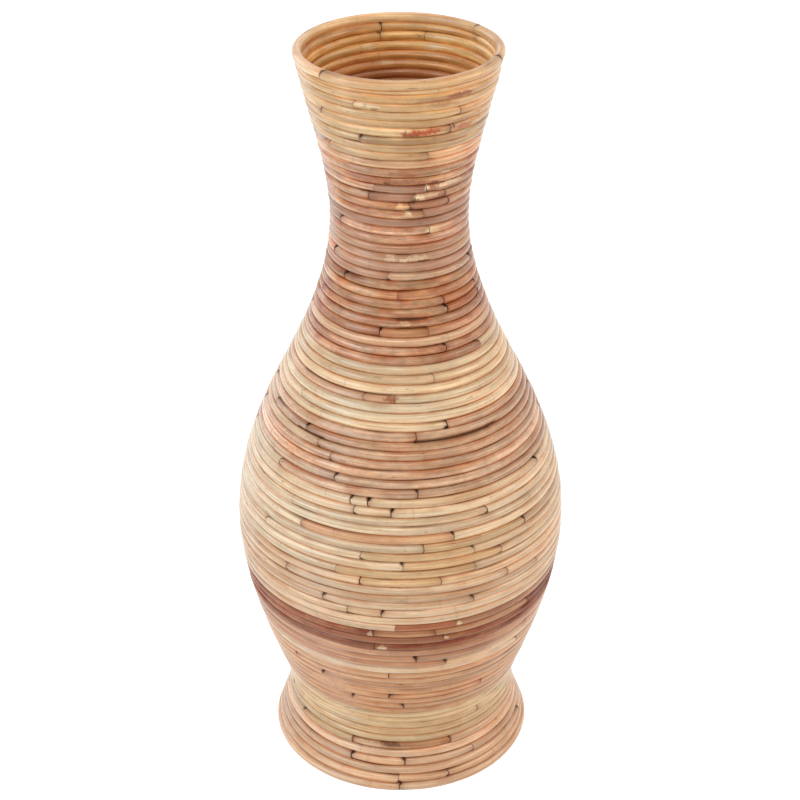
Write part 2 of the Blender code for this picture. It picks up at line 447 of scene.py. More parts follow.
# Chips and stains on the front, and on the inner side at the back: turns, length in metres, side
# (1 upper, -1 lower, 0 middle), strength, colour
PATCHES = (
    (76.905, 0.010, -1, 0.8, "skinless"),
    (74.944, 0.006, 1, 0.9, "skinless"),
    (74.885, 0.030, 1, 0.7, "skinless"),
    (73.962, 0.012, 0, 1.0, "skinless"),
    (73.945, 0.024, 1, 0.5, "skinless"),
    (72.997, 0.010, 0, 1.0, "skinless"),
    (71.982, 0.007, 1, 0.9, "skinless"),
    (69.925, 0.016, 0, 1.0, "skinless"),
    (67.02, 0.010, 0, 0.6, "skinless"),
    (66.96, 0.022, 0, 0.6, "skinless"),
    (66.99, 0.008, -1, 0.8, "skinless"),
    (59.99, 0.012, 0, 0.5, "skinless"),
    (22.03, 0.010, -1, 0.45, "skinless"),
    (23.018, 0.009, 0, 0.6, "skinless"),
    (25.030, 0.006, 0, 0.6, "skinless"),
    (25.944, 0.008, 0, 0.6, "skinless"),
    (23.956, 0.006, 1, 0.5, "skinless"),
    (5.045, 0.030, 0, 0.45, "skinless"),
    (5.012, 0.018, 1, 0.8, "burnt"),
    (4.938, 0.012, 0, 0.6, "dried_brown"),
    (52.012, 0.016, 0, 0.95, "dried_brown"),
    (85.052, 0.004, 1, 0.8, "burnt"),
    (85.038, 0.007, -1, 0.6, "burnt"),
    (81.905, 0.004, 1, 0.8, "burnt"),
    (81.880, 0.026, 0, 0.7, "fire_red"),
    (84.445, 0.014, 0, 0.6, "skinless"),
    (84.565, 0.022, 0, 0.5, "skinless"),
    (82.475, 0.014, 1, 0.5, "skinless"),
    (85.36, 0.016, 1, 0.5, "skinless"),
    (48.95, 0.010, 1, 0.6, "skinless"),
    (85.05, 0.022, 1, 0.5, "skinless"),
    (81.990, 0.006, 0, 0.8, "burnt"),
    (81.965, 0.034, 0, 0.95, "fire_red"),
    (81.945, 0.020, 1, 0.7, "fire_red"),
    (81.978, 0.012, -1, 0.6, "burnt"),
    (85.90, 0.030, 0, 0.9, "dried_brown"),
    (85.93, 0.046, -1, 0.7, "dried_brown"),
    (84.93, 0.030, 1, 0.5, "dried_brown"),
    (82.88, 0.040, -1, 0.6, "dried_brown"),
    (79.2, 0.040, -1, 0.6, "dried_brown"),
    (56.925, 0.012, 0, 0.7, "dried_brown"),
    (76.99, 0.032, 0, 0.5, "dried_brown"),
    (75.985, 0.036, 0, 0.6, "dried_brown"),
    (76.024, 0.006, -1, 0.9, "burnt"),
    (75.925, 0.010, -1, 0.8, "burnt"),
    (73.968, 0.010, -1, 0.8, "burnt"),
    (72.977, 0.006, -1, 0.9, "burnt"),
)

# Stretches on the front where a cane is thinner and leaves a groove, painted dark as its shade: from, to
# in turns, side, depth
THIN_SIDES = (
    (59.945, 60.008, 1, 1.0),
    (79.15, 79.26, 1, 0.8),
    (59.95, 60.0, -1, 0.6),
    (58.955, 59.01, 1, 0.5),
    (5.005, 5.03, 1, 0.9),
    (47.87, 47.981, -1, 1.0),
    (46.88, 46.985, 1, 0.7),
    (47.095, 47.14, -1, 0.8),
    (52.01, 52.17, 1, 0.7),
    (0.906, 0.944, -1, 0.6),
    (74.92, 74.945, -1, 0.8),
    (75.02, 75.036, -1, 0.7),
    (72.965, 72.99, 1, 0.6),
    (71.95, 71.985, 1, 0.7),
    (66.975, 67.01, 1, 0.6),
    (66.93, 66.96, -1, 0.7),
)


def light_of(colour):
    """An sRGB colour, each channel from 0 to 255, as scene-linear light."""
    share = np.array(colour) / 255
    return np.where(share <= 0.04045, share / 12.92, ((share + 0.055) / 1.055) ** 2.4)


def outline(heights):
    """Crest radius at each height: a cubic between stations, and straight past both ends."""
    (low, low_radius, low_slope), *_, (high, high_radius, high_slope) = STATIONS
    below = low_radius + low_slope * (heights - low)
    above = high_radius + high_slope * (heights - high)
    radii = np.where(heights < low, below, above)
    for (low, low_radius, low_slope), (high, high_radius, high_slope) in zip(STATIONS[:-1], STATIONS[1:]):
        inside = (heights >= low) & (heights <= high)
        share = (heights[inside] - low) / (high - low)
        bend = share * (1 - share) ** 2 * low_slope - share * share * (1 - share) * high_slope
        between = low_radius + (high_radius - low_radius) * share * share * (3 - 2 * share)
        radii[inside] = between + (high - low) * bend
    return radii


class Wall:
    """The line through the middles of the courses, measured along its length from the foot ring."""

    def __init__(self):
        heights = np.linspace(-SOLID_DIAMETER, VASE_HEIGHT + SOLID_DIAMETER, OUTLINE_POINTS)
        crest = outline(heights)
        slope = np.gradient(crest, heights)
        lean = np.hypot(1, slope)
        inset = SOLID_DIAMETER / 2 * SOLID_REACH
        self.radius = crest - inset / lean
        self.height = heights + inset * slope / lean
        steps = np.hypot(np.diff(self.radius), np.diff(self.height))
        self.along = np.concatenate([[0.0], np.cumsum(steps)])
        self.along -= self.at_height(SOLID_DIAMETER / 2 - FOOT_FLAT)
        self.length = self.at_height(VASE_HEIGHT - SOLID_DIAMETER / 2)
        self.out_r = np.gradient(self.height, self.along)
        self.out_z = -np.gradient(self.radius, self.along)
        self.lowest = PITCH / 2
        self.highest = self.length - PITCH / 2
        self.last_turn = (self.highest - self.lowest) / PITCH + 1
        self.turns = np.arange(0, MOST_TURNS, TURN_STEP)
        low, high = self.course(self.turns)
        radius, height, _, _ = self.point((low + high) / 2)
        sweep = np.diff(self.turns) * math.tau * (radius[1:] + radius[:-1]) / 2
        lengths = np.hypot(sweep, np.hypot(np.diff(radius), np.diff(height)))
        self.run = np.concatenate([[0.0], np.cumsum(lengths)])

    def at_height(self, height):
        return float(np.interp(height, self.height, self.along))

    def point(self, along):
        """Radius, height and outward direction of the wall's middle line."""
        columns = (self.radius, self.height, self.out_r, self.out_z)
        return [np.interp(along, self.along, column) for column in columns]

    def course(self, turns):
        """Lower and upper edge of the spiral along the wall, after so many turns."""
        climbed = self.lowest + PITCH * (turns - 1)
        return np.maximum(self.lowest, climbed), np.minimum(self.highest, climbed + PITCH)

    def run_at(self, turns):
        """Length of cane from the foot to here."""
        return np.interp(turns, self.turns, self.run)

    def turns_at(self, run):
        return np.interp(run, self.run, self.turns)


def eased(share):
    """From 0 to 1, level at both ends."""
    share = np.clip(share, 0, 1)
    return share * share * (3 - 2 * share)


def rising(value, start, steepness):
    """From 0 at start straight to 1, upward or, with a negative steepness, downward."""
    return np.clip((value - start) * steepness, 0, 1)


class Drift:
    """A value that wanders smoothly along the cane, always the same way."""

    KNOTS = 8192

    def __init__(self, spacing, seed):
        self.spacing = spacing
        self.knots = np.random.default_rng(seed).uniform(-1, 1, self.KNOTS)

    def __call__(self, run):
        place = np.asarray(run) / self.spacing
        whole = np.floor(place).astype(int)
        share = eased(place - whole)
        return self.knots[whole % self.KNOTS] * (1 - share) + self.knots[(whole + 1) % self.KNOTS] * share


WALL = Wall()
SWAY = Drift(spacing=0.09, seed=11)
GIRTH = Drift(spacing=0.05, seed=12)
UNEVEN = Drift(spacing=0.25, seed=17)
SHADE = Drift(spacing=0.12, seed=13)
WARMTH = Drift(spacing=0.11, seed=14)
BLOTCH = Drift(spacing=0.015, seed=15)
GROOVE_SHADING = Drift(spacing=0.045, seed=16)
RAGGED = Drift(spacing=0.0012, seed=18)


def uneven(turns):
    """How far the line between two courses strays from an even climb: not at all at either end."""
    fade = np.clip(np.minimum(turns - 1, WALL.last_turn - turns), 0, 1)
    return UNEVENNESS * fade * UNEVEN(WALL.run_at(turns))


def lowered(along):
    """A place along the wall in the mouth, which the photograph shows a little lower than the solids."""
    return along - MOUTH_DROP * eased(1 - (WALL.highest - along) / DROP_REACH)


def solid_spans():
    """Name, material slot and turns of each solid of the spiral."""
    first = math.ceil(TAIL_SHARE * SOLID_STEPS)
    last = math.floor((WALL.last_turn - TAIL_SHARE) * SOLID_STEPS)
    low, high = WALL.course(np.arange(first, last + 1) / SOLID_STEPS)
    middles = (low + high) / 2
    start = 0
    for band, top, count, slot in SOLIDS:
        end = min(int(np.searchsorted(middles, WALL.at_height(top))), last - first)
        joints = [round(start + (end - start) * share / count) for share in range(count + 1)]
        for number, (begins, ends) in enumerate(zip(joints[:-1], joints[1:]), 1):
            turns = (first + begins) / SOLID_STEPS, (first + ends) / SOLID_STEPS
            yield f"{band}_{number:02d}", slot, *turns
        start = end


def all_joints(spans):
    """Where canes of the spiral meet, in turns: at the solids' ends, at the joints on the front and at
    the ends of the odd canes, and at the back where a cane would get too long."""
    ends = {turns for *_, start, end in spans for turns in (start, end)}
    joints = set(ends)
    odd_spans = [span for spans_of_one in ODD_CANES.values() for span in spans_of_one]
    wanted = set(SEEN_JOINTS).union(*odd_spans)
    first, last = min(ends), max(ends)
    joints |= {turns for turns in wanted if first < turns < last}
    chance = np.random.default_rng(JOINT_SEED)
    for start, end in zip(sorted(joints)[:-1], sorted(joints)[1:]):
        length = WALL.run_at(end) - WALL.run_at(start)
        pieces = math.ceil(length / (LONGEST_CANE * chance.uniform(*LENGTH_SHARES)))
        for piece in range(1, pieces):
            turns = float(WALL.turns_at(WALL.run_at(start) + length * piece / pieces))
            back = math.floor(turns) + chance.uniform(*BACK_TURNS)
            if start + CLEAR_TURNS < back < end - CLEAR_TURNS:
                turns = back
            joints.add(turns)
    return sorted(joints)


def cane_colour(start, end):
    """Name of a cane's colour: an odd one's own, and otherwise that of its run of the spiral."""
    middle = (start + end) / 2
    for name, odd_spans in ODD_CANES.items():
        if any(odd_start < middle < odd_end for odd_start, odd_end in odd_spans):
            return name
    return next(name for top, name in RUNS if middle < top)


def window(run, start, end, soft):
    """1 from start to end along the cane, and 0 outside, with soft ends."""
    rise = np.clip((run - start) / soft + 0.5, 0, 1)
    fall = np.clip((end - run) / soft + 0.5, 0, 1)
    return rise * fall


def section_runs(start, end, rings, marks, gaps):
    """Places of a cane's sections along the run, and of two past each end, where the joint's core is."""
    count = max(2, math.ceil((end - start) / CANE_STEP))
    even = np.linspace(start, end, count + 1)
    beside_rings = (rings[:, None] + RING_SECTIONS).ravel()
    run = np.concatenate([even, start + END_SECTIONS, end - END_SECTIONS, beside_rings, np.array(marks)])
    run = np.sort(run[(run >= start) & (run <= end)])
    run = run[np.concatenate([[True], np.diff(run) > LEAST_STEP])]
    run[-1] = end
    before, after = (gap / 2 - CORE_GAP for gap in gaps)
    core_before = [start - before, start - CORE_STEP * before]
    core_after = [end + CORE_STEP * after, end + after]
    return np.concatenate([core_before, run, core_after])


def fading(values, distances, reach):
    """A value from each end of a cane, fading with the distance from there."""
    return sum(value * np.exp(-away / reach) for value, away in zip(values, distances))


class Cane:
    """One length of cane, from start to end along the run: its sections, girth, ends and colour."""

    def __init__(self, number, start, end, colour, gaps, slants=(0.0, 0.0), marks=(), pits=()):
        chance = np.random.default_rng(CANE_SEED + number)
        first_ring, spacing = chance.uniform(*FIRST_RING), chance.uniform(*RING_SPACING)
        rings = np.arange(start + first_ring, end - RING_CLEAR, spacing)
        self.run = run = section_runs(start, end, rings, marks, gaps)
        distances = (np.maximum(run - start, 0), np.maximum(end - run, 0))
        inner = np.minimum(*distances)
        core = (run < start) | (run > end)
        self.cut = (1 - END_ROUNDING * np.exp(-inner / ROUNDING_REACH)) * np.where(core, CORE_SHARE, 1)
        # The joint's core is painted dark, as the shade in the gap
        self.shade = np.where(core, CORE_SHADE, 1)
        self.ring = np.zeros(len(run))
        for ring in rings:
            self.ring = np.maximum(self.ring, np.exp(-(((run - ring) / RING_REACH) ** 2)))
        self.slant = fading(slants, distances, SLANT_REACH)
        self.girth = 1 - chance.uniform(0, SLIMMING)
        self.lift = fading(chance.uniform(*LIFTS, 2), distances, LIFT_REACH)
        self.mottle = MOTTLED.get(colour, PLAIN_MOTTLE)
        self.thin = {1: np.zeros(len(run)), -1: np.zeros(len(run))}
        self.pits = []
        for away, pit in zip(distances, pits):
            self.wear_end(chance, away, pit)
        tone = chance.normal(1, TONE_SPREAD + MOTTLE_SPREAD * self.mottle)
        self.light = light_of(PALETTE[colour]) * tone**PALING
        self.light *= 1 - chance.normal(0, YELLOW_SPREAD) * YELLOW_SHARES
        stain = chance.uniform(*STAINS)
        self.stain = stain * np.exp(-inner / chance.uniform(*STAIN_REACHES))
        self.fibre_start = number * FIBRE_STEP

    def wear_end(self, chance, away, pit):
        """Wear one end: a pit at a corner of the joint, painted dark as its shade, and now and then a
        thinner side.
        """
        if pit:
            side, depth = pit
            reach = chance.uniform(*PIT_REACHES)
            self.pinch(side, depth * np.exp(-((away / reach) ** 2)))
            self.pits.append((side, depth * np.exp(-((away / reach) ** 4))))
        if chance.random() < WEAR_LIKELY:
            side = int(chance.choice((-1, 1)))
            depth = chance.uniform(*WEAR_DEPTHS)
            reach = chance.uniform(*WEAR_REACHES)
            self.pinch(side, depth * np.exp(-((away / reach) ** 2)))

    def pinch(self, side, depth):
        """Thin the cane on its upper (1) or lower (-1) side, which leaves a groove that is painted dark as
        shade.
        """
        self.thin[side] = np.maximum(self.thin[side], depth)


def section_shape():
    """Corners of a cane's section pressed against its neighbours: flat above and below."""
    turned = math.tau * (np.arange(CANE_SIDES) + 0.5) / CANE_SIDES
    out, up = np.cos(turned), np.sin(turned)
    out = np.sign(out) * np.abs(out) ** SQUARENESS
    up = np.sign(up) * np.abs(up) ** SQUARENESS
    return out / out.max(), up / up.max()


OUT_SHARE, UP_SHARE = section_shape()


def darkened(tint, dark, where, darkest):
    """Colours darkened by so much at each section, in one part of it: painted shade, as in an open groove.
    """
    lost = (dark[:, None] * where[None, :])[..., None] * GROOVE_SHARES
    return tint * np.clip(1 - lost, darkest, 1)


def cane_tint(cane, turns, spiral):
    """Colour of each corner of a cane's sections, one row to each section, with painted shade in grooves,
    pits and joint cores, and painted light and shade inside.
    """
    run = cane.run
    tone = (1 + cane.mottle * (SHADE(run) + TONE_BLOTCHES * BLOTCH(run))) * (1 - RING_DARKNESS * cane.ring)
    drift = WARMTH_DRIFT * WARMTH(run) + WARMTH_BLOTCHES * BLOTCH(run + WARMTH_STRETCH)
    warm = cane.mottle * drift[:, None] * WARM_SHARES
    stain = cane.stain[:, None] * STAIN_SHARES
    tint = cane.light[None, :] * tone[:, None] ** PALING * (1 - warm) * (1 - stain)
    tint = np.repeat((tint * cane.shade[:, None])[:, None, :], CANE_SIDES, axis=1)
    outward = OUT_SHARE > LEAST_OUTWARD
    if spiral:
        # Painted shade and light on the inner side of the wall, by turns
        inside = rising(OUT_SHARE, *INNER_FACE)[None, :, None]
        inside_light_and_shade = np.stack([np.interp(turns, INSIDE_TURNS, column) for column in INSIDE_LIGHT_AND_SHADE.T], -1)
        tint = tint * (1 - inside * (1 - inside_light_and_shade[:, None, :]))
        # Painted light in the grooves of the mouth, against their shade
        in_groove = (rising(np.abs(UP_SHARE), *GROOVE_HALF) * outward)[None, :, None]
        in_mouth = eased((turns - MOUTH_START) / MOUTH_BLEND)[:, None, None]
        tint = tint * (1 + MOUTH_GROOVE_LIGHT * in_mouth * in_groove)
    for side, depth in cane.thin.items():
        brown = BROWNING * cane.mottle * rising(BLOTCH(run + BROWN_STRETCH * side), *BROWN_EDGE)
        half = rising(UP_SHARE * side, *SIDE_HALF)[None, :]
        tint = tint * (1 - (brown[:, None] * half)[..., None] * BROWN_SHARES)
        # Painted shade in the groove on this side: where the cane is thinner, and in stretches that wander
        # along it
        groove_shading = GROOVE_SHADING(run + GROOVE_SHADING_STRETCH * side) + GROOVE_SHADING_BLOTCHES * BLOTCH(run + BLOTCH_STRETCH * side)
        groove_shading = (groove_shading - UNSHADED_SHARE) * (PLAIN_GROOVE_SHADING + MOTTLED_GROOVE_SHADING * cane.mottle)
        dark = np.maximum(depth, np.clip(groove_shading, 0, MOST_GROOVE_SHADING))
        tint = darkened(tint, dark, rising(UP_SHARE * side, *GROOVE_EDGE) * outward, DARKEST_GROOVE)
    # Painted shade in the pits at the joints
    for side, depth in cane.pits:
        tint = darkened(tint, PIT_PAINTED_SHADE * depth, rising(UP_SHARE * side, *PIT_EDGE), DARKEST_PIT)
    return tint


def cane_rows(cane, turns, low, high, spiral=True):
    """Corner positions, fibre places and colours of a cane's sections, one row to each section."""
    run = cane.run
    radius, height, out_r, out_z = WALL.point((low + high) / 2)
    shift = SWAY_REACH * SWAY(run) + cane.lift
    radius = radius + shift * out_r + FOOT_FLARE * eased(1 - height / FLARE_REACH)
    height = height + shift * out_z
    thick = CANE_RADIUS * cane.girth * cane.cut * (1 + GIRTH_SPREAD * GIRTH(run))
    thick = thick * (1 + RING_SWELL * cane.ring)
    squeezed = 1 - SQUEEZE * (1 + GIRTH(run + SQUEEZE_STRETCH))
    tall = np.maximum(((high - low) / 2 + PRESSED_IN) * cane.cut * squeezed, THINNEST)
    wide = thick * (WEDGE_WIDTH + (1 - WEDGE_WIDTH) * np.minimum(1, (high - low) / PITCH))
    across = OUT_SHARE[None, :] * wide[:, None]
    up = UP_SHARE[None, :] * tall[:, None]
    outer = rising(OUT_SHARE, *OUTER_FACE)[None, :]
    for side, depth in cane.thin.items():
        up = np.where(np.sign(up) == side, up * (1 - PINCH * depth[:, None] * outer), up)
    tint = cane_tint(cane, turns, spiral)
    if spiral:
        across, tint = marked(run, across, tint)
    corner_r = radius[:, None] + across * out_r[:, None] - up * out_z[:, None]
    corner_z = height[:, None] + across * out_z[:, None] + up * out_r[:, None]
    slid = cane.slant[:, None] * across
    angle = (SPIRAL_START - math.tau * turns)[:, None] - slid / radius[:, None]
    places = np.stack([corner_r * np.cos(angle), corner_r * np.sin(angle), np.maximum(corner_z, 0)], -1)
    lengthwise = cane.fibre_start + run[:, None] - run[0] + slid
    return places, np.stack([across, up, lengthwise], -1), tint


def marked(run, across, tint):
    """A cane's sections with the chips and stains, each a patch with a ragged edge. At the back of the
    vase they lie on the inner side, which shows through the mouth."""
    for turns, length, side, strength, colour in PATCHES:
        middle = WALL.run_at(turns)
        if run[0] - length < middle < run[-1] + length:
            lengthwise = ((run - middle) * 2 / length)[:, None]
            crosswise = ((UP_SHARE - PATCH_ASIDE * side) / (SIDE_PATCH if side else MIDDLE_PATCH))[None, :]
            at_back = 0.25 < turns % 1 < 0.75
            shown = OUT_SHARE < 0 if at_back else OUT_SHARE > 0
            from_middle = lengthwise**2 + crosswise**2
            torn = RAGGED(run[:, None] + TORN_STEP * np.arange(CANE_SIDES)) * (from_middle < TORN_REACH)
            share = np.clip(PATCH_STEEPNESS * (1 - from_middle) + TORN_SHARE * torn, 0, 1) * shown[None, :]
            if colour == "skinless":
                across = across * (1 - SKIN_DEPTH * share)
            share = strength * share[..., None]
            tint = tint * (1 - share) + light_of(PALETTE[colour]) * share
    return across, tint


def quads_between(rows):
    """The four corners of each face between one row of corners and the next."""
    following = np.roll(rows, -1, axis=1)
    return np.stack([rows[:-1], following[:-1], following[1:], rows[1:]], 2)


class Strand:
    """The canes of one solid, gathered into a single mesh, whose faces are the canes' sides or ends."""

    SIDE, END = 0, 1

    def __init__(self, name, body_length):
        self.name = name
        self.points, self.fibres, self.tints, self.grains = [], [], [], []
        self.faces, self.uvs, self.kinds = [], [], []
        self.total = 0
        self.done = 0.0
        self.rows = max(1, round(math.sqrt(body_length / (math.tau * CANE_RADIUS))))
        self.row_length = body_length / self.rows
        self.caps = 0

    def add(self, cane, places, fibre, tint):
        """One more cane: its sides, and its cut ends with their cores."""
        sections, sides = places.shape[:2]
        for kept, rows in ((self.points, places), (self.fibres, fibre), (self.tints, tint)):
            kept.append(rows.reshape(-1, 3))
        self.grains += [cane.mottle / PLAIN_MOTTLE] * (sections * sides)
        index = self.total + np.arange(sections * sides).reshape(sections, sides)
        quads = quads_between(index[2:-2]).reshape(-1, 4)
        self.faces += quads.tolist()
        self.kinds += [self.SIDE] * len(quads)
        self.uvs.append(self.side_uvs(cane.run[2:-2] - cane.run[2], sides))
        self.add_end(index[:3], True)
        self.add_end(index[-3:], False)
        self.total += sections * sides

    def side_uvs(self, lengths, sides):
        """The sides of the next cane on the UV map, where the canes lie end to end along its rows."""
        begins, ends = self.done + lengths[:-1, None], self.done + lengths[1:, None]
        self.done += lengths[-1]
        row = np.floor(begins / self.row_length)
        stretch = self.row_length + CANE_STEP * SPARE_STEPS
        level = np.arange(sides) / sides
        lower = (row + ROW_MARGIN + ROW_FILLED * level[None, :]) / (self.rows + 1)
        upper = lower + ROW_FILLED / sides / (self.rows + 1)
        left = np.broadcast_to((begins - row * self.row_length) / stretch, lower.shape)
        right = np.broadcast_to((ends - row * self.row_length) / stretch, lower.shape)
        corners = [left, lower, left, upper, right, upper, right, lower]
        return np.stack(corners, -1).reshape(-1, 2)

    def add_end(self, rows, first):
        """The cut face of a cane's first or last end and the core in it, as rings on the UV map."""
        sides = rows.shape[1]
        turn = (-1 if first else 1) * math.tau * np.arange(sides) / sides
        shares = np.array(CAP_RINGS if first else CAP_RINGS[::-1])
        row, column = divmod(self.caps, CAPS_IN_ROW)
        level = (self.rows + CAPS_FROM + CAP_ROW * row) / (self.rows + 1)
        middle = ((column + 0.5) / CAPS_IN_ROW, level)
        spread = CAP_SIZE / (self.rows + CAPS_IN_ROW)
        flat = middle + spread * shares[:, None, None] * np.stack([np.cos(turn), np.sin(turn)], -1)
        self.faces += quads_between(rows).reshape(-1, 4).tolist()
        self.uvs.append(quads_between(flat).reshape(-1, 2))
        self.faces.append((rows[0][::-1] if first else rows[-1]).tolist())
        self.uvs.append(flat[0][::-1] if first else flat[-1])
        self.kinds += [self.END] * (2 * sides + 1)
        self.caps += 1

    def made(self, materials):
        mesh = bpy.data.meshes.new(self.name)
        mesh.from_pydata(np.concatenate(self.points).tolist(), [], self.faces)
        for material in materials:
            mesh.materials.append(material)
        mesh.polygons.foreach_set("material_index", self.kinds)
        mesh.uv_layers.new(name="OFBake").uv.foreach_set("vector", np.concatenate(self.uvs).ravel())
        for name, rows in (("fibre", self.fibres), ("tint", self.tints)):
            values = mesh.attributes.new(name, "FLOAT_VECTOR", "POINT").data
            values.foreach_set("vector", np.concatenate(rows).ravel())
        mesh.attributes.new("grain", "FLOAT", "POINT").data.foreach_set("value", self.grains)
        mesh.shade_smooth()
        mesh.set_sharp_from_angle(angle=SHARP_FROM)
        mesh.update()
        return placed(self.name, mesh)


def placed(name, data):
    """A new object in the scene."""
    made = bpy.data.objects.new(name, data)
    bpy.context.scene.collection.objects.link(made)
    return made


def shown_for(piece, node):
    """The piece stands for a node: it hangs from the root body, and the node is hidden."""
    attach(piece, "root")
    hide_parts(node)


def feature_runs():
    """Where sections are needed for the chips, stains and thin sides, along the run."""
    found = []
    for turns, length, *_ in PATCHES:
        found += list(WALL.run_at(turns) + length * PATCH_SECTIONS)
    for start, end, *_ in THIN_SIDES:
        for turns in (start, end):
            found += [WALL.run_at(turns) + nudge for nudge in (-THIN_BLEND / 2, THIN_BLEND / 2)]
    return [float(run) for run in found]


def draws_at(place, seed=0):
    """Draws that are the same for both canes that meet at a place."""
    return np.random.default_rng(int(abs(place) * SEEDS_A_TURN) + seed)


def slant_at(angle):
    """How far a joint is cut aslant, so that nobody looks straight through it from the front."""
    size = float(draws_at(angle).uniform(*SLANTS))
    return size if math.sin(2 * angle) > 0 else -size


def pit_at(turns):
    """Whether the corner of a joint is worn into a pit, painted dark as its shade: on which side, and how
    deep.
    """
    chance = draws_at(turns, PIT_SEED)
    likely = SEEN_PIT_LIKELY if turns in SEEN_JOINTS else PIT_LIKELY
    return (int(chance.choice((-1, 1))), chance.uniform(*PIT_DEPTHS)) if chance.random() < likely else None


def gap_at(turns):
    """How wide a joint stands open."""
    return draws_at(turns, GAP_SEED).uniform(*(SEEN_GAP if turns in SEEN_JOINTS else PLAIN_GAP))


def spiral(materials):
    """Every solid of the spiral as the canes that lie in it."""
    spans = list(solid_spans())
    joints = all_joints(spans)
    marks = feature_runs()
    number = 0
    for name, slot, start, end in spans:
        if name == spans[0][0]:
            joints[0] = start = TAIL_TIP
        if name == spans[-1][0]:
            joints[-1] = end = WALL.last_turn - TAIL_TIP
        inside = [turns for turns in joints if start <= turns <= end]
        strand = Strand(f"{name}_canes", float(WALL.run_at(end) - WALL.run_at(start)))
        for begins, ends in zip(inside[:-1], inside[1:]):
            number += 1
            gaps = (gap_at(begins), gap_at(ends))
            run_start = float(WALL.run_at(begins)) + gaps[0] / 2
            run_end = float(WALL.run_at(ends)) - gaps[1] / 2
            slants = [slant_at(SPIRAL_START - math.tau * turns) for turns in (begins, ends)]
            pits = (pit_at(begins), pit_at(ends))
            cane = Cane(number, run_start, run_end, cane_colour(begins, ends), gaps, slants, marks, pits)
            for from_turns, to_turns, side, depth in THIN_SIDES:
                along = window(cane.run, WALL.run_at(from_turns), WALL.run_at(to_turns), THIN_BLEND)
                cane.pinch(side, depth * along)
            turns = WALL.turns_at(cane.run)
            low, high = WALL.course(turns)
            low, high = lowered(low + uneven(turns)), lowered(high + uneven(turns + 1))
            strand.add(cane, *cane_rows(cane, turns, low, high))
        shown_for(strand.made(materials), name)


def level_course(name, joints, along, colours, slot, materials, first_number):
    """A level ring: one cane between each joint and the next, anticlockwise seen from above."""
    radius = float(WALL.point(along)[0])
    start = LEVEL_RUN_START + first_number
    worn = (1, LEVEL_WEAR)
    gaps = (LEVEL_GAP, LEVEL_GAP)
    for number, joint in enumerate(joints):
        following = joints[(number + 1) % len(joints)]
        length = math.radians((following - joint) % 360) * radius - LEVEL_GAP
        strand = Strand(f"{name}_{number + 1}_cane", length)
        slants = [slant_at(math.radians(degrees)) for degrees in (joint, following)]
        ends = (start, start + length)
        cane = Cane(first_number + number, *ends, colours[number], gaps, slants, pits=(worn, worn))
        turned = math.radians(joint) + (cane.run - start + LEVEL_GAP / 2) / radius
        turns = (SPIRAL_START - turned) / math.tau
        low = np.full(len(turns), lowered(along - PITCH / 2))
        places, fibre, tint = cane_rows(cane, turns, low, low + PITCH, spiral=False)
        strand.add(cane, places[:, ::-1], fibre[:, ::-1], tint[:, ::-1])
        shown_for(strand.made(materials), f"{name}_{number + 1}")


def new_node(tree, kind, inputs=None, **settings):
    """A shader node with its settings, and each input set or linked."""
    made = tree.nodes.new(kind)
    for name, value in settings.items():
        setattr(made, name, value)
    for socket, value in (inputs or {}).items():
        if isinstance(value, bpy.types.NodeSocket):
            tree.links.new(value, made.inputs[socket])
        else:
            made.inputs[socket].default_value = value
    return made


def noise(tree, place, scale, detail, roughness=0.5):
    """Noise stretched by so much along each axis, from 0 to 1."""
    stretched = new_node(tree, "ShaderNodeVectorMath", {0: place, 1: scale}, operation="MULTIPLY")
    inputs = {"Vector": stretched.outputs[0], "Scale": 1.0, "Detail": detail, "Roughness": roughness}
    return new_node(tree, "ShaderNodeTexNoise", inputs).outputs["Fac"]


def ranged(tree, value, low, high, to_low, to_high):
    """A value from low to high turned smoothly into one from to_low to to_high."""
    inputs = {"Value": value, "From Min": low, "From Max": high, "To Min": to_low, "To Max": to_high}
    return new_node(tree, "ShaderNodeMapRange", inputs, interpolation_type="SMOOTHSTEP").outputs[0]


def maths(tree, operation, one, other=0.0):
    return new_node(tree, "ShaderNodeMath", {0: one, 1: other}, operation=operation).outputs[0]


def product(tree, *values):
    """The product of all the values."""
    result = values[0]
    for value in values[1:]:
        result = maths(tree, "MULTIPLY", result, value)
    return result


def axis_of(tree, vector, axis):
    return new_node(tree, "ShaderNodeSeparateXYZ", {0: vector}).outputs[axis]


def attribute(tree, name, output="Vector"):
    return new_node(tree, "ShaderNodeAttribute", attribute_name=name).outputs[output]


def object_place(tree):
    return new_node(tree, "ShaderNodeTexCoord").outputs["Object"]


def mixed(tree, share, one, other):
    """One number at a share of 0 and the other at 1."""
    inputs = {0: share, 2: one, 3: other}
    return new_node(tree, "ShaderNodeMix", inputs, data_type="FLOAT").outputs[0]


def scaled(tree, colour, factor):
    inputs = {0: colour, "Scale": factor}
    return new_node(tree, "ShaderNodeVectorMath", inputs, operation="SCALE").outputs[0]


def tinted(tree, colour, by):
    return new_node(tree, "ShaderNodeVectorMath", {0: colour, 1: by}, operation="MULTIPLY").outputs[0]


def blended(tree, share, one, other):
    """One colour at a share of 0 and the other at 1."""
    inputs = {0: share, 6: one, 7: other}
    return new_node(tree, "ShaderNodeMix", inputs, data_type="RGBA").outputs[2]


def new_material(name):
    made = bpy.data.materials.new(name)
    made.use_nodes = True
    return made, made.node_tree, made.node_tree.nodes["Principled BSDF"]


def bump(tree, shader, height, strength, distance):
    inputs = {"Strength": strength, "Distance": distance, "Height": height}
    tree.links.new(new_node(tree, "ShaderNodeBump", inputs).outputs["Normal"], shader.inputs["Normal"])


